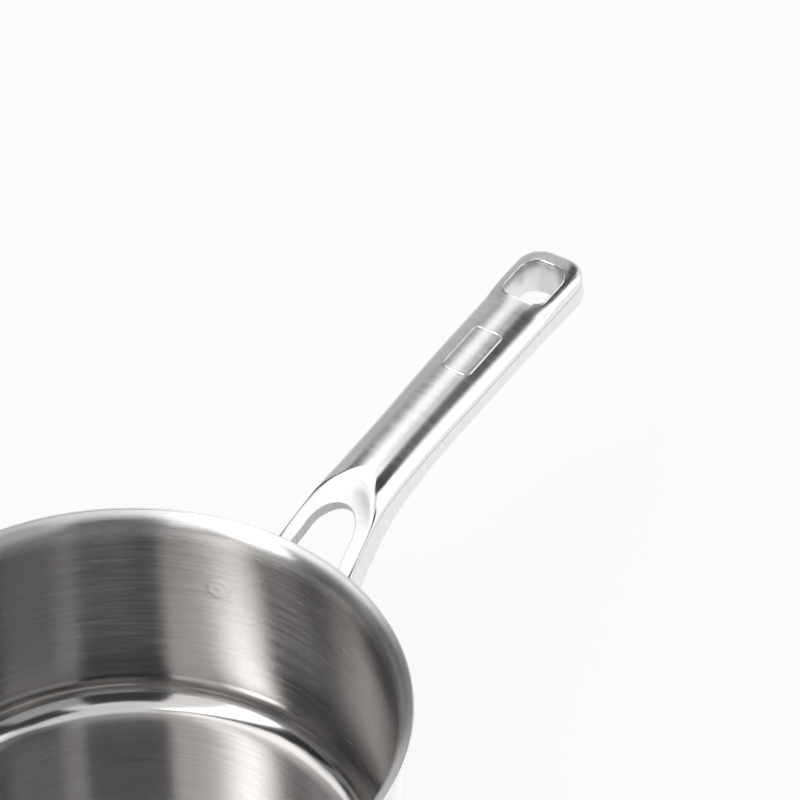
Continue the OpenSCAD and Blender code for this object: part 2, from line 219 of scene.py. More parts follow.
def spread(points, count, bendShare=1.1):
    # Takes count points of a dense line, closer together where it bends
    shortest, window = 1e-9, 9
    step = np.diff(points, axis=0)
    length = np.linalg.norm(step, axis=1)
    keep = length > shortest
    unit = step / np.maximum(length, shortest)[:, None]
    turn = np.zeros(len(length))
    turn[1:] = np.linalg.norm(np.diff(unit, axis=0), axis=1) * keep[1:] * keep[:-1]
    turn = np.convolve(turn, np.ones(window) / window, mode="same")
    weight = length / length.sum() + bendShare * turn / max(turn.sum(), shortest)
    total = np.concatenate([[0], np.cumsum(weight)])
    at = np.linspace(0, total[-1], count)
    return np.stack([np.interp(at, total, points[:, k]) for k in range(3)], axis=1)


def makeMesh(name, grids, mirror=True, weld=2e-6):
    # Each grid is rows of points; the half with y >= 0 is mirrored, and all edges are welded
    mesh = bpy.data.meshes.new(name)
    builder = bmesh.new()
    for grid in grids:
        for side in ((1, -1) if mirror else (1,)):
            rows = [[builder.verts.new(((saddleFace + p[0]) / 1000, side * p[1] / 1000, p[2] / 1000))
                     for p in row] for row in grid]
            for a, b in zip(rows, rows[1:]):
                for k in range(len(a) - 1):
                    builder.faces.new((a[k], a[k + 1], b[k + 1], b[k]))
    bmesh.ops.remove_doubles(builder, verts=builder.verts, dist=weld)
    bmesh.ops.dissolve_degenerate(builder, dist=1e-7, edges=builder.edges)
    # The cut ends of the legs are closed here
    openEdges = [edge for edge in builder.edges if edge.is_boundary]
    if openEdges:
        bmesh.ops.holes_fill(builder, edges=openEdges, sides=0)
    bmesh.ops.recalc_face_normals(builder, faces=builder.faces)
    print(name, "open edges", len(openEdges), "then", sum(edge.is_boundary for edge in builder.edges),
          "odd edges", sum(not edge.is_manifold for edge in builder.edges))
    builder.to_mesh(mesh)
    builder.free()
    return addPiece(name, mesh)


def shadeSmooth(piece, sharpDegrees):
    mesh = piece.data
    mesh.polygons.foreach_set("use_smooth", [True] * len(mesh.polygons))
    mesh.set_sharp_from_angle(angle=math.radians(sharpDegrees))


def planUv(piece):
    # U runs along the handle, and V across it and down its sides, so that the brushing can lie across
    sideShare = 0.7
    mesh = piece.data
    layer = mesh.uv_layers.new(name="along")
    xyz = np.zeros(3 * len(mesh.vertices), dtype=np.float32)
    mesh.vertices.foreach_get("co", xyz)
    xyz = xyz.reshape(-1, 3)
    corner = np.zeros(len(mesh.loops), dtype=np.int32)
    mesh.loops.foreach_get("vertex_index", corner)
    x, y, z = xyz[corner].T
    uv = np.stack([x, y + np.sign(y) * sideShare * (0.1 - z)], axis=1).astype(np.float32)
    layer.data.foreach_set("uv", uv.ravel())


# Outlines, for the half with y >= 0

def gapOutline(back, legPlaces, steps):
    hw = fork["halfGap"] - fork["taper"] + back
    reach = fork["crown"] + back
    legs = [(s, hw + fork["taper"] * (crownFrom - s) / crownFrom) for s in legPlaces]
    turn = [math.sin(math.pi / 2 * k / steps) for k in range(1, steps + 1)]
    crown = [(crownFrom + reach * t, float(hw * swell(t, fork["crownPower"]))) for t in turn]
    return np.array(legs + crown)


def roundedOutline(near, far, half, nearRound, farRound, arcSteps, endSteps, count):
    # Half of a rounded rectangle, from its near end over the side to its far end
    sideSteps, bendShare = 30, 0.6
    angles = np.linspace(0, math.pi / 2, arcSteps)
    dense = [(near, y) for y in np.linspace(0, half - nearRound, sideSteps)]
    dense += [(near + nearRound - nearRound * math.cos(a), half - nearRound + nearRound * math.sin(a))
              for a in angles]
    dense += [(s, half) for s in np.linspace(near + nearRound, far - farRound, sideSteps)]
    dense += [(far - farRound + farRound * math.sin(a), half - farRound + farRound * math.cos(a))
              for a in angles]
    dense += [(far, y) for y in np.linspace(half - farRound, 0, endSteps)]
    return spread(np.array([(s, y, 0) for s, y in dense]), count, bendShare)[:, :2]


def eyeOutline(inset, count):
    leastRound = 0.3
    nearRound, farRound = (max(leastRound, eye[key] - inset) for key in ("nearRadius", "farRadius"))
    return roundedOutline(eyeStart + inset, eyeEnd - inset, eye["width"] / 2 - inset, nearRound, farRound,
                          arcSteps=60, endSteps=12, count=count)


def labelOutline(inset):
    middle = eyeStart - label["toEye"] - label["length"] / 2
    reach, half, corner = label["length"] / 2 - inset, label["width"] / 2 - inset, label["radius"] - inset
    return roundedOutline(middle - reach, middle + reach, half, corner, corner,
                          arcSteps=30, endSteps=30, count=70)


# Places along the handle: the legs, the sides of the crown, the grip and the tip

crossAt, eyeCrossAt, legEnd = 66.0, 150.0, -2.4
alongSteps = {"legs": 26, "crown": 32, "grip": 70, "eye": 18, "tip": 30, "across": 34}
raySteps = {"face": 52, "inner": 8, "eye": 34, "belly": 16, "eyeBelly": 12, "wall": 5, "eyeWall": 3}
legPlaces = np.linspace(legEnd, crownFrom, alongSteps["legs"])
crownPlaces = np.linspace(crownFrom, crossAt, alongSteps["crown"])[1:]
gripPlaces = np.linspace(crossAt, eyeCrossAt, alongSteps["grip"])[1:]
tipBend = np.sin(np.linspace(0, np.pi / 2, alongSteps["tip"]))[1:]
tipPlaces = np.concatenate([np.linspace(eyeCrossAt, tipFrom, alongSteps["eye"])[1:],
                            tipFrom + handle["tipLength"] * tipBend])
acrossShares = np.sin(np.linspace(np.pi / 2, 0, alongSteps["across"]))  # from the side to the middle
crownSteps = len(crownPlaces) + len(acrossShares) - 1


def fanTargets(places, cross, half, crossFirst=False):
    side = [(s, float(half(s))) for s in places]
    across = [(cross, float(half(cross)) * t) for t in acrossShares]
    if crossFirst:
        return np.array(across[::-1] + side)
    return np.array(side + across[1:])


def rayShares(count, toSide):
    t = np.linspace(0, 1, count)
    return np.sin(t * np.pi / 2) if toSide else t


def fan(inner, outer, level, sideRays, count, dense=260, lead=None):
    # Rays from an outline to the targets, each resampled where it bends
    rays = []
    for k, (a, b) in enumerate(zip(inner, outer)):
        share = rayShares(dense, sideRays[k])[:, None]
        flat = a + (b - a) * share
        line = np.column_stack([flat, level(flat[:, 0], flat[:, 1])])
        if lead is not None:
            line = np.vstack([lead[k], line[1:]])
        rays.append(spread(line, count))
    return rays


def outlineNormals(outline):
    step = np.gradient(outline, axis=0)
    normal = np.column_stack([-step[:, 1], step[:, 0]])
    normal /= np.linalg.norm(normal, axis=1)[:, None]
    normal[-1] = (1, 0)
    return np.where(normal[:, [1]] < 0, -normal, normal)


def roundedEdge(outline, level, radius, steps=14):
    # The rounded edge of the gap: short leads from its wall onto the face, square to the outline
    normals = outlineNormals(outline)
    down = np.array([math.sin(tilt), 0, -math.cos(tilt)])
    leads, starts = [], []
    for (s, y), (ns, ny) in zip(outline, normals):
        d = radius * (1 - np.cos(np.linspace(0, np.pi / 2, steps)))
        ps, py = s + ns * d * math.cos(tilt), np.maximum(0, y + ny * d)
        sunk = radius - np.sqrt(np.maximum(0, radius ** 2 - (radius - d) ** 2))
        z = level(ps, py)
        leads.append(np.column_stack([ps, py, z]) + sunk[:, None] * down)
        starts.append((ps[-1], py[-1]))
    return leads, np.array(starts)


def legRing(outline, depth):
    # The outline carried down square to the fork's face
    s = outline[:, 0] + depth * math.sin(tilt)
    return np.column_stack([s, outline[:, 1], planeLevel(outline[:, 0]) - depth * math.cos(tilt)])


def holeWall(outer, inner, rows):
    # The wall of a hole, between the first points of the outer and the inner rays
    upper, lower = np.array([ray[0] for ray in outer]), np.array([ray[0] for ray in inner])
    return [upper + (lower - upper) * t for t in np.linspace(0, 1, rows)]


def gripRows(half, level):
    rows = []
    for s in gripSpan:
        along, across = np.full(len(acrossShares), s), half(s) * acrossShares
        rows.append(np.column_stack([along, across, level(along, across)]))
    return rows


def innerHalf(s):
    # The edge thins only at the very tip
    tipSpare = 1.2
    return np.maximum(0, halfWidth(s) - handle["edge"] * np.minimum(1, endShare(s) * tipSpare))


forkPlaces = np.concatenate([legPlaces, crownPlaces])
sidePlaces = np.concatenate([forkPlaces, gripPlaces, tipPlaces])
gripSpan = np.concatenate([[crossAt], gripPlaces])
crownSide = [True] * len(forkPlaces) + [False] * (len(acrossShares) - 1)
eyeSide = [False] * len(acrossShares) + [True] * len(tipPlaces)
forkTargets, forkInnerTargets, forkFootTargets = (
    fanTargets(forkPlaces, crossAt, half) for half in (halfWidth, innerHalf, footHalf))
eyeTargets, eyeInnerTargets, eyeFootTargets = (
    fanTargets(tipPlaces, eyeCrossAt, half, crossFirst=True) for half in (halfWidth, innerHalf, footHalf))


def buildTop():
    gap = gapOutline(0, legPlaces, crownSteps)
    leads, starts = roundedEdge(gap, topLevel, fork["edgeRound"])
    outer = fan(starts, forkTargets, topLevel, crownSide, raySteps["face"], lead=leads)
    plateRing = legRing(gap, fork["plate"])
    inner = fan(plateRing[:, :2], forkInnerTargets, topInnerLevel, crownSide, raySteps["inner"])
    hole = eyeOutline(0, len(eyeTargets))
    outerEye = fan(hole, eyeTargets, topLevel, eyeSide, raySteps["eye"])
    innerEye = fan(hole, eyeInnerTargets, topInnerLevel, eyeSide, raySteps["inner"])
    # The seam's edge: a land, one side of the fine groove and the flat that meets the underside
    s, hw, e = sidePlaces, halfWidth(sidePlaces), endShare(sidePlaces)
    c, deep, part = handle["grooveHalf"] * e, handle["grooveDepth"] * e, partOuter(sidePlaces)
    seam = [np.column_stack([s, hw, topLevel(s, hw)]), np.column_stack([s, hw, part + c]),
            np.column_stack([s, hw - deep, part]),
            np.column_stack([s, innerHalf(s), topInnerLevel(s, innerHalf(s))])]
    grids = [outer, inner, gripRows(halfWidth, topLevel), gripRows(innerHalf, topInnerLevel),
             outerEye, innerEye, holeWall(outer, inner, raySteps["wall"]),
             holeWall(outerEye, innerEye, raySteps["eyeWall"]), seam]
    return makeMesh("handle_top_shell", grids)


def buildUnderside():
    legTop = gapOutline(fork["setBack"], legPlaces, crownSteps)
    upper = legRing(legTop, fork["plate"])
    # Where the gap's wall, square to the face, meets the belly
    firstGuess, rounds = 8.0, 30
    depth = np.full(len(legTop), firstGuess)
    for _ in range(rounds):
        s = legTop[:, 0] + depth * math.sin(tilt)
        depth = (planeLevel(legTop[:, 0]) - bellyLevel(s, legTop[:, 1])) / math.cos(tilt)
    lower = legRing(legTop, depth)
    outer = fan(lower[:, :2], forkFootTargets, bellyLevel, crownSide, raySteps["belly"])
    inner = fan(upper[:, :2], forkInnerTargets, underInnerLevel, crownSide, raySteps["inner"])
    hole = eyeOutline(0, len(eyeTargets))
    outerEye = fan(hole, eyeFootTargets, bellyLevel, eyeSide, raySteps["eyeBelly"])
    innerEye = fan(hole, eyeInnerTargets, underInnerLevel, eyeSide, raySteps["inner"])
    # The side: a rounded foot, the slanted side, the groove's lower side and the flat under the top shell
    s, hw, e = sidePlaces, halfWidth(sidePlaces), endShare(sidePlaces)
    r, foot, low = handle["footRound"] * e, halfWidth(s) + footFlare(s), footLevel(s)
    c, deep, part = handle["grooveHalf"] * e, handle["grooveDepth"] * e, partOuter(s)
    footSteps = 10
    side = [np.column_stack([s, foot - r + r * math.sin(a), low + r - r * math.cos(a)])
            for a in np.linspace(0, math.pi / 2, footSteps)]
    side += [np.column_stack([s, foot + (hw - foot) * t, low + r + (part - c - low - r) * t])
             for t in (0.2, 0.4, 0.6, 0.8)]
    side += [np.column_stack([s, hw, part - c]), np.column_stack([s, hw - deep, part]),
             np.column_stack([s, innerHalf(s), underInnerLevel(s, innerHalf(s))])]
    grids = [outer, inner, gripRows(footHalf, bellyLevel), gripRows(innerHalf, underInnerLevel),
             outerEye, innerEye, holeWall(outer, inner, raySteps["wall"]),
             holeWall(outerEye, innerEye, raySteps["eyeWall"]), side]
    return makeMesh("handle_lower_shell", grids)


def ringLoft(name, outlineAt, profile, topAt, bottomAt=None):
    # A closed ring: each profile point is (inset, height, share of the way down)
    rows = []
    for inset, height, down in profile:
        half = outlineAt(inset)
        ring = np.vstack([half, (half * (1, -1))[-2:0:-1], half[:1]])
        z = topAt(ring[:, 0], ring[:, 1]) + height
        if bottomAt is not None and down > 0:
            z = z + (bottomAt(ring[:, 0], ring[:, 1]) - z) * down
        rows.append(np.column_stack([ring, z]))
    rows.append(rows[0])
    return makeMesh(name, [rows], mirror=False)


def buildLiner():
    # A rolled lip on the grip, a short neck, and a funnel that narrows down to the belly
    wall, draw, lip, neck = eye["wall"], eye["draw"], eye["lip"], -2.0
    profile = [(0.0, -0.6, 0), (-0.06, -0.2, 0), (-0.1, 0.05, 0), (-0.04, 0.24, 0), (0.1, 0.9 * lip, 0),
               (0.25, lip, 0), (0.42, 0.8 * lip, 0), (0.56, 0.1, 0), (0.66, -0.4, 0), (0.8, -1.0, 0),
               (wall, neck, 0)]
    profile += [(wall + draw * t, neck, t) for t in (0.15, 0.3, 0.45, 0.6, 0.75, 0.9, 0.96)]
    profile += [(wall + draw - 0.1, neck, 0.999), (wall + draw - 0.5, 0, 1), (0.3, 0, 1), (0.0, -0.6, 0.97)]
    return ringLoft("eye_sleeve", lambda inset: eyeOutline(inset, count=90), profile, backLevel, bellyLevel)


def buildLabelFrame():
    line, height = label["line"], label["height"]
    profile = [(0, -0.15, 0), (0.06 * line, 0.35 * height, 0), (0.2 * line, 0.8 * height, 0),
               (0.4 * line, height, 0), (0.6 * line, height, 0), (0.8 * line, 0.8 * height, 0),
               (0.94 * line, 0.35 * height, 0), (line, -0.15, 0), (0.5 * line, -0.4, 0)]
    return ringLoft("label_frame", labelOutline, profile, backLevel)


# Sockets and sums in any node tree

def wire(tree, source, target):
    if isinstance(source, (int, float, tuple)):
        target.default_value = source
    else:
        tree.links.new(source, target)


def sums(tree, operation, a, b=0.0, c=None):
    box = tree.nodes.new("ShaderNodeMath")
    box.operation = operation
    for k, value in enumerate((a, b, c)):
        if value is not None:
            wire(tree, value, box.inputs[k])
    return box.outputs[0]


# Turned pieces: one geometry tree turns a profile about the pan's axis

def turningTree():
    tree = bpy.data.node_groups.new("turnedOnTheAxis", "GeometryNodeTree")
    face = tree.interface
    face.new_socket("Profile", in_out="INPUT", socket_type="NodeSocketGeometry")
    face.new_socket("Steps", in_out="INPUT", socket_type="NodeSocketInt")
    face.new_socket("Finish", in_out="INPUT", socket_type="NodeSocketMaterial")
    face.new_socket("Turned", in_out="OUTPUT", socket_type="NodeSocketGeometry")
    put, join = tree.nodes.new, tree.links.new

    def maths(operation, a, b=0.0):
        return sums(tree, operation, a, b)

    given, result = put("NodeGroupInput"), put("NodeGroupOutput")
    size = put("GeometryNodeAttributeDomainSize")
    join(given.outputs["Profile"], size.inputs[0])
    count = size.outputs["Point Count"]
    grid = put("GeometryNodeMeshGrid")
    grid.inputs["Size Y"].default_value = 1
    join(maths("SUBTRACT", count, 1), grid.inputs["Size X"])
    join(count, grid.inputs["Vertices X"])
    join(maths("ADD", given.outputs["Steps"], 1), grid.inputs["Vertices Y"])
    split = put("ShaderNodeSeparateXYZ")
    join(put("GeometryNodeInputPosition").outputs[0], split.inputs[0])
    fromMiddle = maths("MULTIPLY", maths("SUBTRACT", count, 1), 0.5)
    at = maths("ROUND", maths("ADD", split.outputs["X"], fromMiddle))
    angle = maths("MULTIPLY", maths("ADD", split.outputs["Y"], 0.5), 2 * math.pi)
    sample = put("GeometryNodeSampleIndex")
    sample.data_type, sample.domain = "FLOAT_VECTOR", "POINT"
    join(given.outputs["Profile"], sample.inputs["Geometry"])
    join(put("GeometryNodeInputPosition").outputs[0], sample.inputs["Value"])
    join(at, sample.inputs["Index"])
    point = put("ShaderNodeSeparateXYZ")
    join(sample.outputs[0], point.inputs[0])
    place = put("ShaderNodeCombineXYZ")
    join(maths("MULTIPLY", point.outputs["X"], maths("COSINE", angle)), place.inputs["X"])
    join(maths("MULTIPLY", point.outputs["X"], maths("SINE", angle)), place.inputs["Y"])
    join(point.outputs["Z"], place.inputs["Z"])
    move = put("GeometryNodeSetPosition")
    join(grid.outputs["Mesh"], move.inputs["Geometry"])
    join(place.outputs[0], move.inputs["Position"])
    merge = put("GeometryNodeMergeByDistance")
    merge.inputs["Distance"].default_value = 1e-6
    join(move.outputs[0], merge.inputs["Geometry"])
    realize, finish = put("GeometryNodeRealizeInstances"), put("GeometryNodeSetMaterial")
    join(merge.outputs[0], realize.inputs[0])
    join(realize.outputs[0], finish.inputs["Geometry"])
    join(given.outputs["Finish"], finish.inputs["Material"])
    join(finish.outputs[0], result.inputs[0])
    return tree


def applyTree(name, source, tree, values):
    modifier = source.modifiers.new("made", "NODES")
    modifier.node_group = tree
    for item in tree.interface.items_tree:
        if item.item_type == "SOCKET" and item.in_out == "INPUT" and item.name in values:
            modifier[item.identifier] = values[item.name]
    bpy.context.view_layer.update()
    ready = source.evaluated_get(bpy.context.evaluated_depsgraph_get())
    mesh = bpy.data.meshes.new_from_object(ready)
    source.modifiers.remove(modifier)
    bpy.data.objects.remove(source)
    mesh.name = name
    return addPiece(name, mesh)


def turned(name, profile, steps, material):
    # profile is a closed line of (radius, height) in millimetres
    mesh = bpy.data.meshes.new(name + "_profile")
    points = list(profile) + [profile[0]]
    mesh.from_pydata([(r / 1000, 0, z / 1000) for r, z in points],
                     [(k, k + 1) for k in range(len(points) - 1)], [])
    source = addPiece(name + "_profile", mesh)
    piece = applyTree(name, source, turnTree, {"Steps": steps, "Finish": material})
    builder = bmesh.new()
    builder.from_mesh(piece.data)
    bmesh.ops.remove_doubles(builder, verts=builder.verts, dist=1e-6)
    bmesh.ops.recalc_face_normals(builder, faces=builder.faces)
    builder.to_mesh(piece.data)
    builder.free()
    piece.data.materials.clear()
    piece.data.materials.append(material)
    piece.data.polygons.foreach_set("material_index", [0] * len(piece.data.polygons))
    return piece


def arc(centre, radius, start, end, count):
    angles = np.radians(np.linspace(start, end, count))
    return [(centre[0] + radius * math.cos(a), centre[1] + radius * math.sin(a)) for a in angles]


def panProfile():
    flatSteps, cornerSteps, wallSteps, flareSteps, beadSteps, beadTurn = 12, 16, 10, 41, 18, 100
    height, wall, sheet, floorLevel = pan["height"], pan["wallRadius"], pan["sheet"], pan["floorLevel"]
    corner, flareR, bead = pan["cornerRadius"], pan["flareRadius"], pan["beadRadius"]
    turn = math.radians(pan["flareTurn"])
    middle = flareR + sheet / 2
    centre = (wall + flareR, height - bead - middle * math.sin(turn))
    beadAt = (centre[0] - middle * math.cos(turn), centre[1] + middle * math.sin(turn))
    line = [(r, floorLevel) for r in np.linspace(0, wall - corner, flatSteps)]
    line += arc((wall - corner, floorLevel + corner), corner, -90, 0, cornerSteps)[1:]
    # The sheet's middle line in the flare: a slow start, the bend, and a flat lip
    lean = turn * (1 - (1 - np.linspace(0, 1, flareSteps) ** pan["flareEase"]) ** pan["flareFlat"])
    rise = np.concatenate([[0], np.cumsum(np.sin((lean[1:] + lean[:-1]) / 2))])
    high = np.concatenate([[0], np.cumsum(np.cos((lean[1:] + lean[:-1]) / 2))])
    size = (beadAt[0] - wall + sheet / 2) / rise[-1]
    middleLine = np.column_stack([wall - sheet / 2 + size * rise, beadAt[1] - size * (high[-1] - high)])
    square = np.column_stack([np.cos(lean), -np.sin(lean)]) * sheet / 2
    start = middleLine[0][1]
    line += [(wall, z) for z in np.linspace(floorLevel + corner, start, wallSteps)[1:-1]]
    # The flare's underside, the bead round its edge, and the flare's upper side
    line += [tuple(at) for at in (middleLine + square)[:-1]]
    tangent = 90 - pan["flareTurn"]
    line += arc(beadAt, bead, tangent - beadTurn, tangent + beadTurn, beadSteps)
    line += [tuple(at) for at in (middleLine - square)[-2::-1]]
    line += [(wall - sheet, z) for z in np.linspace(start, floorLevel + corner, flatSteps)[1:]]
    line += arc((wall - corner, floorLevel + corner), corner - sheet, 0, -90, cornerSteps)[1:]
    line += [(r, floorLevel + sheet) for r in np.linspace(wall - corner, 0, flatSteps)[1:]]
    return line


def capProfile():
    # The cap's underside with its fine turned rings, the rounded edge and the wall round the disc
    radius, inside = base["discRadius"] + base["capThickness"], base["discRadius"]
    high = base["capThickness"] + base["discThickness"]
    soft, width, lip = base["capChamfer"], base["ringWidth"], base["capLip"]
    line = [(0, 0)]
    for r in base["rings"]:
        line += [(r, 0), (r + width / 2, base["ringDepth"]), (r + width, 0)]
    line += arc((radius - soft, soft), soft, -90, 0, count=10)
    line += [(radius, high - lip), (radius - lip, high), (inside, high), (inside, base["capThickness"]),
             (0, base["capThickness"])]
    return line


# Finishes

def shaderGroup(name, inputs, outputs):
    tree = bpy.data.node_groups.new(name, "ShaderNodeTree")
    for kind, socketName in inputs:
        tree.interface.new_socket(socketName, in_out="INPUT", socket_type=kind)
    for kind, socketName in outputs:
        tree.interface.new_socket(socketName, in_out="OUTPUT", socket_type=kind)
    return tree, tree.nodes.new("NodeGroupInput"), tree.nodes.new("NodeGroupOutput")


def blend(tree, share, a, b):
    box = tree.nodes.new("ShaderNodeMix")
    box.data_type = "RGBA"
    wire(tree, share, box.inputs["Factor"])
    wire(tree, a, box.inputs["A"])
    wire(tree, b, box.inputs["B"])
    return box.outputs["Result"]


def noise(tree, vector, scale, detail, roughness):
    box = tree.nodes.new("ShaderNodeTexNoise")
    wire(tree, vector, box.inputs["Vector"])
    box.inputs["Scale"].default_value = scale
    box.inputs["Detail"].default_value = detail
    box.inputs["Roughness"].default_value = roughness
    return box.outputs[0]


def mapRange(tree, value, low, high, toLow=0.0, toHigh=1.0):
    box = tree.nodes.new("ShaderNodeMapRange")
    box.interpolation_type = "SMOOTHSTEP"
    given = {"Value": value, "From Min": low, "From Max": high, "To Min": toLow, "To Max": toHigh}
    for key, source in given.items():
        wire(tree, source, box.inputs[key])
    return box.outputs[0]


vectorIn = ("NodeSocketVector", "Vector")
lineSockets = ([vectorIn, ("NodeSocketFloat", "Along"), ("NodeSocketFloat", "Across")],
               [("NodeSocketFloat", "Lines"), ("NodeSocketFloat", "Streaks")])


def grainIn(tree, field, result):
    # Fine lines, and the broader streaks among them
    fine = noise(tree, field, scale=1.0, detail=3.0, roughness=0.65)
    broad = noise(tree, field, scale=0.4, detail=3.0, roughness=0.6)
    wire(tree, fine, result.inputs["Lines"])
    wire(tree, mapRange(tree, broad, low=0.3, high=0.7), result.inputs["Streaks"])
    return tree


def linesRound():
    # Lines that run round the pan: fine across, long along
    tree, given, result = shaderGroup("linesRoundThePan", *lineSockets)
    split, made = tree.nodes.new("ShaderNodeSeparateXYZ"), tree.nodes.new("ShaderNodeCombineXYZ")
    wire(tree, given.outputs["Vector"], split.inputs[0])
    x, y, z = split.outputs
    squares = sums(tree, "ADD", sums(tree, "MULTIPLY", x, x), sums(tree, "MULTIPLY", y, y))
    radius = sums(tree, "SQRT", squares)
    wire(tree, sums(tree, "MULTIPLY", x, given.outputs["Along"]), made.inputs["X"])
    wire(tree, sums(tree, "MULTIPLY", y, given.outputs["Along"]), made.inputs["Y"])
    outward = sums(tree, "ADD", z, radius)
    wire(tree, sums(tree, "MULTIPLY", outward, given.outputs["Across"]), made.inputs["Z"])
    return grainIn(tree, made.outputs[0], result)


def linesAcross():
    # Lines that lie across the handle
    tree, given, result = shaderGroup("linesAcrossTheHandle", *lineSockets)
    split, made = tree.nodes.new("ShaderNodeSeparateXYZ"), tree.nodes.new("ShaderNodeCombineXYZ")
    wire(tree, given.outputs["Vector"], split.inputs[0])
    for axis, stretch in (("X", "Across"), ("Y", "Along"), ("Z", "Along")):
        wire(tree, sums(tree, "MULTIPLY", split.outputs[axis], given.outputs[stretch]), made.inputs[axis])
    return grainIn(tree, made.outputs[0], result)


def steelWear():
    # Soft clouding from handling and washing, and sparse small marks
    tree, given, result = shaderGroup("steelWear", [vectorIn], [("NodeSocketFloat", "Clouds"),
                                      ("NodeSocketFloat", "Marks")])
    clouds = noise(tree, given.outputs[0], scale=32.0, detail=3.0, roughness=0.55)
    marks = noise(tree, given.outputs[0], scale=420.0, detail=2.0, roughness=0.7)
    wire(tree, mapRange(tree, clouds, low=0.3, high=0.75), result.inputs["Clouds"])
    wire(tree, mapRange(tree, marks, low=0.68, high=0.78), result.inputs["Marks"])
    return tree


groups = {"round": linesRound(), "across": linesAcross(), "wear": steelWear()}


def placeGroup(tree, key, vector, along=None, across=None):
    box = tree.nodes.new("ShaderNodeGroup")
    box.node_tree = groups[key]
    wire(tree, vector, box.inputs["Vector"])
    if along is not None:
        box.inputs["Along"].default_value = along
        box.inputs["Across"].default_value = across
    return box


def steel(name, look):
    # One steel finish: lines, colours, roughness, bump and the direction of the brushing
    material = bpy.data.materials.new(name)
    material.use_nodes = True
    tree = material.node_tree
    shader = tree.nodes["Principled BSDF"]
    coords = tree.nodes.new("ShaderNodeTexCoord").outputs["Object"]
    grain = placeGroup(tree, look["field"], coords, look["along"], look["across"])
    wear = placeGroup(tree, "wear", coords)
    lines, streaks = grain.outputs["Lines"], grain.outputs["Streaks"]
    lineShare, smooth = 1.0, None
    if "fade" in look:
        # The lines are fainter on one side of a place: along the handle, or up the wall
        axis, start, end, least = look["fade"]
        at = tree.nodes.new("ShaderNodeSeparateXYZ")
        wire(tree, coords, at.inputs[0])
        lineShare = mapRange(tree, at.outputs[axis], start, end, least, 1.0)
        smooth = mapRange(tree, at.outputs[axis], start, end, 1.0, 0.0)
    rough = look["rough"]
    for source, key in ((streaks, "streakRough"), (lines, "lineRough")):
        rough = sums(tree, "MULTIPLY_ADD", sums(tree, "SUBTRACT", source, 0.5), look[key], rough)
    rough = sums(tree, "MULTIPLY_ADD", wear.outputs["Clouds"], look["cloudRough"], rough)
    if "smoothRough" in look:
        rough = sums(tree, "MULTIPLY_ADD", smooth, look["smoothRough"], rough)
    wire(tree, rough, shader.inputs["Roughness"])
    tone = blend(tree, streaks, look["dark"] + (1,), look["light"] + (1,))
    markShare = sums(tree, "MULTIPLY", wear.outputs["Marks"], look["marks"])
    tone = blend(tree, markShare, tone, look["dark"] + (1,))
    # The rim takes a lighter colour than the wall, a painted highlight along the rim
    if "rimPaintedHighlight" in look:
        tone = blend(tree, smooth, look["rimPaintedHighlight"] + (1,), tone)
    wire(tree, tone, shader.inputs["Base Color"])
    shader.inputs["Metallic"].default_value = 1.0
    shader.inputs["Anisotropic"].default_value = look["aniso"]
    shader.inputs["Anisotropic Rotation"].default_value = look["turn"]
    tangent = tree.nodes.new("ShaderNodeTangent")
    if look["tangent"] == "round":
        tangent.direction_type, tangent.axis = "RADIAL", "Z"
    else:
        tangent.direction_type, tangent.uv_map = "UV_MAP", "along"
    wire(tree, tangent.outputs[0], shader.inputs["Tangent"])
    height = sums(tree, "MULTIPLY", lines, lineShare)
    faded = sums(tree, "MULTIPLY", streaks, lineShare)
    height = sums(tree, "MULTIPLY_ADD", faded, look["streakBump"], height)
    if "spots" in look:
        # The two spot welds of the saddle show inside the wall as a ring with a dot
        split, mirrored = tree.nodes.new("ShaderNodeSeparateXYZ"), tree.nodes.new("ShaderNodeCombineXYZ")
        wire(tree, coords, split.inputs[0])
        wire(tree, split.outputs["X"], mirrored.inputs["X"])
        wire(tree, sums(tree, "ABSOLUTE", split.outputs["Y"]), mirrored.inputs["Y"])
        wire(tree, split.outputs["Z"], mirrored.inputs["Z"])
        away = tree.nodes.new("ShaderNodeVectorMath")
        away.operation = "DISTANCE"
        wire(tree, mirrored.outputs[0], away.inputs[0])
        away.inputs[1].default_value = look["spots"]
        ramp = tree.nodes.new("ShaderNodeValToRGB")
        wire(tree, sums(tree, "MULTIPLY", away.outputs["Value"], 1 / weldSpot["radius"]), ramp.inputs[0])
        while len(ramp.color_ramp.elements) < len(weldSpot["heights"]):
            ramp.color_ramp.elements.new(0.5)
        for element, (at, level) in zip(ramp.color_ramp.elements, weldSpot["heights"]):
            element.position, element.color = at, (level, level, level, 1)
        ramp.color_ramp.interpolation = "B_SPLINE"
        height = sums(tree, "MULTIPLY_ADD", ramp.outputs[0], look["spotDepth"], height)
    bump = tree.nodes.new("ShaderNodeBump")
    bump.inputs["Strength"].default_value = look["bump"]
    bump.inputs["Distance"].default_value = bumpDepth
    wire(tree, height, bump.inputs["Height"])
    wire(tree, bump.outputs[0], shader.inputs["Normal"])
    return material


bumpDepth = 0.0002
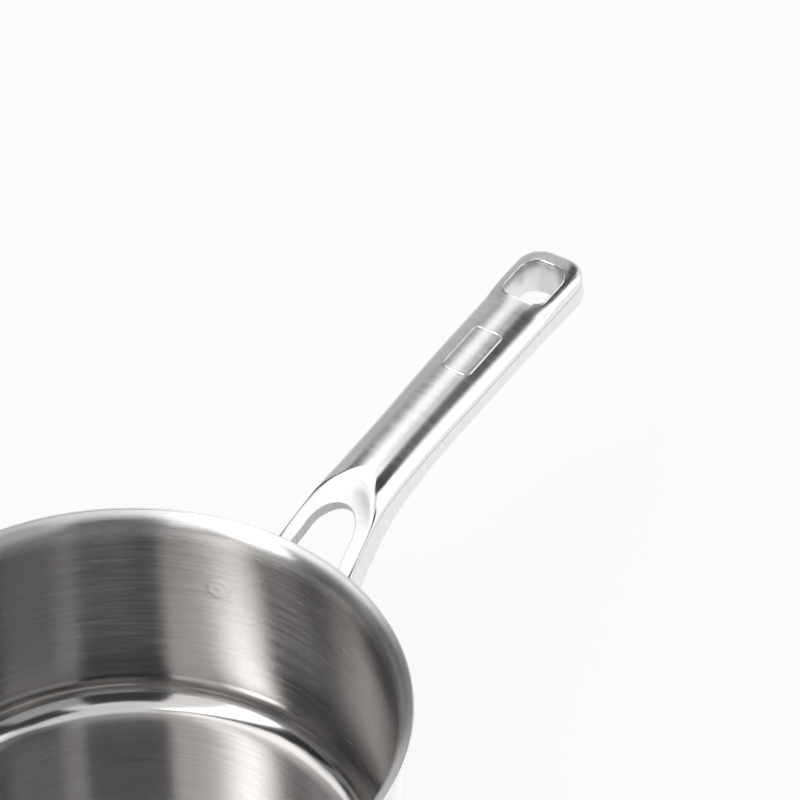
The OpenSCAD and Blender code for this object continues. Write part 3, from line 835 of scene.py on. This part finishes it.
# A spot weld's mark: its radius, and its height at each share of that radius
weldSpot = {"radius": 0.006, "heights": ((0.0, 0.25), (0.14, 0.2), (0.24, 0.5), (0.5, 0.42), (0.66, 0.2),
                                         (0.78, 0.8), (1.0, 1.0))}
roundLook = {"field": "round", "tangent": "round", "turn": 0.25, "marks": 0.2}
acrossLook = {"field": "across", "tangent": "uv", "turn": 0.0, "marks": 0.2}
looks = {
    # The inside wall is darker than the outside steel, painted shade inside the pan
    "panInside": {
        **roundLook, "along": 90.0, "across": 1900.0,
        "aniso": 0.95, "rough": 0.3, "lineRough": 0.1, "streakRough": 0.05, "cloudRough": 0.02,
        "dark": (0.50, 0.49, 0.485), "light": (0.57, 0.56, 0.555), "marks": 0.25,
        "bump": 0.3, "streakBump": 0.15, "fade": ("Z", 0.087, 0.095, 0.5),
        # The rim's lighter colour is a painted highlight
        "rimPaintedHighlight": (0.80, 0.795, 0.79), "smoothRough": -0.08,
        "spots": (0.09488, 0.0265, 0.068), "spotDepth": 1.6,
    },
    "panFloor": {
        **roundLook, "along": 40.0, "across": 2400.0,
        "aniso": 0.5, "rough": 0.12, "lineRough": 0.05, "streakRough": 0.02, "cloudRough": 0.02,
        "dark": (0.54, 0.53, 0.52), "light": (0.60, 0.59, 0.585), "marks": 0.25,
        "bump": 0.04, "streakBump": 0.1,
    },
    "panOutside": {
        **roundLook, "along": 12.0, "across": 2600.0,
        "aniso": 0.35, "rough": 0.13, "lineRough": 0.05, "streakRough": 0.03, "cloudRough": 0.05,
        "dark": (0.66, 0.655, 0.65), "light": (0.74, 0.735, 0.73),
        "bump": 0.03, "streakBump": 0.3,
    },
    "grip": {
        **acrossLook, "along": 60.0, "across": 3000.0,
        "aniso": 0.9, "rough": 0.2, "lineRough": 0.12, "streakRough": 0.04, "cloudRough": 0.02,
        "dark": (0.70, 0.695, 0.70), "light": (0.77, 0.765, 0.77),
        "bump": 0.14, "streakBump": 0.15, "fade": ("X", 0.150, 0.170, 0.04),
        "smoothRough": -0.09,
    },
    # The fork's face: lighter than the grip's steel, painted brightness for its white sheen
    "face": {
        **acrossLook, "along": 90.0, "across": 1800.0,
        "aniso": 0.0, "rough": 0.36, "lineRough": 0.06, "streakRough": 0.02, "cloudRough": 0.02,
        "dark": (0.77, 0.765, 0.77), "light": (0.82, 0.815, 0.82),
        "bump": 0.03, "streakBump": 0.15,
    },
    # The gap's cut wall: rougher, and darker than the steel round it, which paints the shade inside the gap
    "cut": {
        **acrossLook, "along": 160.0, "across": 2200.0,
        "aniso": 0.0, "rough": 0.42, "lineRough": 0.1, "streakRough": 0.06, "cloudRough": 0.05,
        "dark": (0.44, 0.435, 0.44), "light": (0.52, 0.515, 0.52),
        "bump": 0.05, "streakBump": 0.3,
    },
    "underside": {
        **acrossLook, "along": 160.0, "across": 2200.0,
        "aniso": 0.3, "rough": 0.34, "lineRough": 0.1, "streakRough": 0.04, "cloudRough": 0.05,
        "dark": (0.71, 0.705, 0.71), "light": (0.77, 0.765, 0.77),
        "bump": 0.04, "streakBump": 0.15,
    },
    # The seam's fine groove: a nearly black colour, painted shadow in the groove
    "paintedGrooveShade": {
        **acrossLook, "along": 160.0, "across": 2200.0,
        "aniso": 0.0, "rough": 0.5, "lineRough": 0.1, "streakRough": 0.06, "cloudRough": 0.05,
        "dark": (0.05, 0.05, 0.05), "light": (0.09, 0.09, 0.09),
        "bump": 0.03, "streakBump": 0.3,
    },
    "lip": {
        **acrossLook, "along": 120.0, "across": 1400.0,
        "aniso": 0.0, "rough": 0.11, "lineRough": 0.05, "streakRough": 0.03, "cloudRough": 0.04,
        "dark": (0.72, 0.715, 0.715), "light": (0.80, 0.795, 0.795), "marks": 0.1,
        "bump": 0.02, "streakBump": 0.5,
    },
    "saddle": {
        **acrossLook, "tangent": "round", "along": 200.0, "across": 1500.0,
        "aniso": 0.2, "rough": 0.34, "lineRough": 0.1, "streakRough": 0.06, "cloudRough": 0.06,
        "dark": (0.60, 0.595, 0.59), "light": (0.70, 0.695, 0.69), "marks": 0.3,
        "bump": 0.05, "streakBump": 0.5,
    },
    "base": {
        **roundLook, "along": 30.0, "across": 1800.0,
        "aniso": 0.7, "rough": 0.3, "lineRough": 0.14, "streakRough": 0.08, "cloudRough": 0.08,
        "dark": (0.56, 0.555, 0.55), "light": (0.68, 0.675, 0.67), "marks": 0.45,
        "bump": 0.12, "streakBump": 0.4,
    },
    "spreader": {
        **roundLook, "along": 40.0, "across": 1500.0,
        "aniso": 0.3, "rough": 0.4, "lineRough": 0.1, "streakRough": 0.06, "cloudRough": 0.06,
        "dark": (0.70, 0.71, 0.72), "light": (0.80, 0.81, 0.82),
        "bump": 0.08, "streakBump": 0.4,
    },
}
finishes = {key: steel("steel_" + key, look) for key, look in looks.items()}
print("finishes made:", ", ".join(finishes))


# The pieces

def addFinishes(piece, *keys):
    for key in keys:
        piece.data.materials.append(finishes[key])


turnTree = turningTree()
panBody = turned("pan_body", panProfile(), pan["steps"], finishes["panInside"])
addFinishes(panBody, "panOutside", "panFloor")
sheetMiddle = (pan["wallRadius"] - pan["sheet"] / 2) / 1000
floorMiddle = (pan["floorLevel"] + pan["sheet"] / 2) / 1000
floorTo, rimFrom, rimFacing = pan["floorTo"] / 1000, (pan["height"] - pan["rimHeight"]) / 1000, 0.2
for polygon in panBody.data.polygons:
    c = polygon.center
    inside = math.hypot(c.x, c.y) < sheetMiddle and c.z > floorMiddle
    onRim = c.z > rimFrom and polygon.normal.z > rimFacing
    if inside and c.z < floorTo:
        polygon.material_index = 2
    else:
        polygon.material_index = 0 if inside or onRim else 1
shadeSmooth(panBody, 50)
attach(panBody, "root")
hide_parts("vessel")
print("pan turned:", len(panBody.data.polygons), "faces")

baseCap = turned("base_cap_turned", capProfile(), base["steps"], finishes["base"])
shadeSmooth(baseCap, 40)
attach(baseCap, "root")
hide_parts("base_cap")
print("base cap turned:", len(baseCap.data.polygons), "faces")

topShell = buildTop()
addFinishes(topShell, "grip", "cut", "paintedGrooveShade", "face")
# The gap's cut wall: how far past the crown it may lie, how square to the face it is, and how near the gap
cut = {"past": 4, "squareTo": 0.25, "lead": 3, "spare": 0.8}
faceTo, faceFacing = 52, 0.5
up = Vector((-math.sin(tilt), 0, math.cos(tilt)))
for polygon in topShell.data.polygons:
    s, y, z = placeOf(polygon)
    square = abs(polygon.normal.dot(up)) < cut["squareTo"]
    # Polygons in the seam's groove take the nearly black finish, painted shadow in the seam
    if inGroove(s, y, z):
        polygon.material_index = 2
    # The gap's cut wall takes the darker cut finish, painted shade inside the gap
    elif s < fork["length"] + cut["past"] and square and z < float(planeLevel(s)):
        gapHalf = fork["halfGap"] - fork["taper"] * min(1, max(0, s - cut["lead"]) / crownFrom)
        polygon.material_index = 1 if y < gapHalf + cut["spare"] else 0
    # The fork's face takes the lighter face finish, painted brightness
    elif (s < faceTo and polygon.normal.z > faceFacing
          and float(faceLevel(s, y)) < float(backLevel(s, y))):
        polygon.material_index = 3
shadeSmooth(topShell, 40)
planUv(topShell)
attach(topShell, "root")
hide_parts("handle_top")
print("top shell:", len(topShell.data.polygons), "faces")

lowerShell = buildUnderside()
addFinishes(lowerShell, "underside", "paintedGrooveShade")
# The groove's polygons take the nearly black finish, painted shadow in the seam
for polygon in lowerShell.data.polygons:
    polygon.material_index = 1 if inGroove(*placeOf(polygon)) else 0
shadeSmooth(lowerShell, 40)
planUv(lowerShell)
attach(lowerShell, "root")
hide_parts("handle_underside")
print("lower shell:", len(lowerShell.data.polygons), "faces")

liner = buildLiner()
addFinishes(liner, "lip", "underside")
for polygon in liner.data.polygons:
    s, y, z = placeOf(polygon)
    polygon.material_index = 0 if z > float(backLevel(s, y)) - eye["lipDepth"] else 1
shadeSmooth(liner, 50)
planUv(liner)
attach(liner, "root")
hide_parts("eye_liner")

labelFrame = buildLabelFrame()
addFinishes(labelFrame, "lip")
shadeSmooth(labelFrame, 60)
planUv(labelFrame)
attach(labelFrame, "root")
print("liner and label frame made")

# The pieces that keep the shapes of the source get their finishes only
asBuilt = {"heat_spreader": "spreader", "handle_saddle": "saddle", "leg_welds": "saddle"}
for nodeName, key in asBuilt.items():
    mesh = nodes[nodeName].data
    if not mesh.materials:
        mesh.materials.append(finishes[key])
    for slotNumber in range(len(mesh.materials)):
        mesh.materials[slotNumber] = finishes[key]
print("all pieces dressed")


# Floor, cards and light

# Each card: azimuth from and to, elevation from and to (degrees, seen from the pan), brightness.
# Where two overlap, the later one stands in front.
studio = {
    "radius": 2.6, "cardStep": 0.02, "cardCentre": 0.1, "floorHalf": 6, "floorGlow": 0.88, "world": 1.0,
    "bounce": (0.1, 0.75, -0.7, -0.03), "bounceHeight": 0.002, "bounceLevel": 1.12,
    "cards": {
        "boxRight": (-68, -21, -2, 68, 1.6),
        "boxFar": (18, 45, 40, 66, 1.5),
        "boxRidge": (45, 98, 46, 80, 1.5),
        "boxLeft": (149, 174, -2, 80, 2.6),
        "boxLeftCore": (153, 167, -2, 72, 4.6),
        "screenLeft": (174, 197, -2, 80, 1.15),
        "shadeLeft": (126, 149, -2, 84, 0.02),
        "shadeLow": (118, 126, -2, 47, 0.02),
        "edgeLeft": (107, 118, -2, 47, 0.26),
        "boxFace": (98, 133, 52, 80, 1.7),
        "screenGrip": (38, 66, -2, 35, 0.64),
        "shadeGrip": (38, 66, 35, 47.5, 0.22),
        "shadeRight": (-112, -68, 30, 72, 0.05),
        "screenTip": (14, 38, -2, 35, 0.62),
        "shadeFar": (-21, 22, 34, 76, 0.06),
        "shadeFarLow": (22, 29, 34, 54, 0.06),
        "shadeTip": (2, 18, 10, 34, 0.08),
        "shadeCrease": (66, 86, -2, 46, 0.06),
        "shadeBack": (86, 107, -2, 44, 0.05),
        "behindLeft": (197, 235, -2, 57, 0.06),
        "behindCamera": (235, 270, -2, 50, 0.5),
    },
}
view = {
    "lens": 198, "sensor": 36, "clipEnd": 20,
    "place": (-0.8542, -0.6954, 1.1994), "forward": (0.6249, 0.4215, -0.6571),
}


def plainMaterial(name):
    material = bpy.data.materials.new(name)
    material.use_nodes = True
    material.node_tree.nodes.clear()
    return material, material.node_tree


def floorMaterial():
    # White cloth that glows for the camera and in the steel, and still takes the shadow
    material, tree = plainMaterial("studio_floor")
    put, join = tree.nodes.new, tree.links.new
    cloth, glow, mixed = put("ShaderNodeBsdfDiffuse"), put("ShaderNodeEmission"), put("ShaderNodeMixShader")
    cloth.inputs["Color"].default_value = (0.95, 0.95, 0.95, 1)
    glow.inputs["Color"].default_value = (0.99, 0.99, 0.995, 1)
    path = put("ShaderNodeLightPath")
    inSteel = sums(tree, "MAXIMUM", path.outputs["Is Glossy Ray"], path.outputs["Is Transmission Ray"])
    seen = sums(tree, "MAXIMUM", path.outputs["Is Camera Ray"], inSteel)
    join(sums(tree, "MULTIPLY", seen, studio["floorGlow"]), mixed.inputs[0])
    join(cloth.outputs[0], mixed.inputs[1])
    join(glow.outputs[0], mixed.inputs[2])
    join(mixed.outputs[0], put("ShaderNodeOutputMaterial").inputs[0])
    return material


def glowMaterial(name, level):
    material, tree = plainMaterial(name)
    glow = tree.nodes.new("ShaderNodeEmission")
    glow.inputs["Color"].default_value = (1, 0.99, 0.985, 1)
    glow.inputs["Strength"].default_value = level
    tree.links.new(glow.outputs[0], tree.nodes.new("ShaderNodeOutputMaterial").inputs[0])
    return material


def stagePiece(name, points, faces, material):
    mesh = bpy.data.meshes.new(name)
    mesh.from_pydata(points, [], faces)
    mesh.materials.append(material)
    return addPiece(name, mesh)


def flatPiece(name, corners, height, material):
    x0, x1, y0, y1 = corners
    points = [(x0, y0, height), (x1, y0, height), (x1, y1, height), (x0, y1, height)]
    return stagePiece(name, points, [(0, 1, 2, 3)], material)


def card(name, azimuths, elevations, level, radius, columns=24, rows=12):
    points = []
    for el in np.radians(np.linspace(*elevations, rows)):
        reach, high = radius * math.cos(el), studio["cardCentre"] + radius * math.sin(el)
        points += [(reach * math.cos(az), reach * math.sin(az), high)
                   for az in np.radians(np.linspace(*azimuths, columns))]
    faces = [(a * columns + b, a * columns + b + 1, (a + 1) * columns + b + 1, (a + 1) * columns + b)
             for a in range(rows - 1) for b in range(columns - 1)]
    piece = stagePiece(name, points, faces, glowMaterial(name, level))
    piece.visible_camera = False


for number, (name, (az0, az1, el0, el1, level)) in enumerate(studio["cards"].items()):
    card("card_" + name, (az0, az1), (el0, el1), level, studio["radius"] - studio["cardStep"] * number)

# A white card on the floor beside the handle, seen only in the steel
bounceLight = glowMaterial("card_bounce", studio["bounceLevel"])
bounce = flatPiece("card_bounce", studio["bounce"], studio["bounceHeight"], bounceLight)
bounce.visible_camera = bounce.visible_diffuse = bounce.visible_shadow = False

half = studio["floorHalf"]
floor = flatPiece("studio_floor", (-half, half, -half, half), 0, floorMaterial())

world = bpy.data.worlds.new("studio")
world.use_nodes = True
world.node_tree.nodes["Background"].inputs["Color"].default_value = (1, 1, 1, 1)
world.node_tree.nodes["Background"].inputs["Strength"].default_value = studio["world"]
bpy.context.scene.world = world

# The camera that fits the photograph
cameraData = bpy.data.cameras.new("camera")
cameraData.lens, cameraData.sensor_width = view["lens"], view["sensor"]
cameraData.clip_end = view["clipEnd"]
camera = addPiece("camera", cameraData)
camera.location = view["place"]
camera.rotation_euler = Vector(view["forward"]).to_track_quat("-Z", "Y").to_euler()
bpy.context.scene.camera = camera
bpy.context.scene.view_settings.view_transform = "Standard"
print("studio and camera placed")
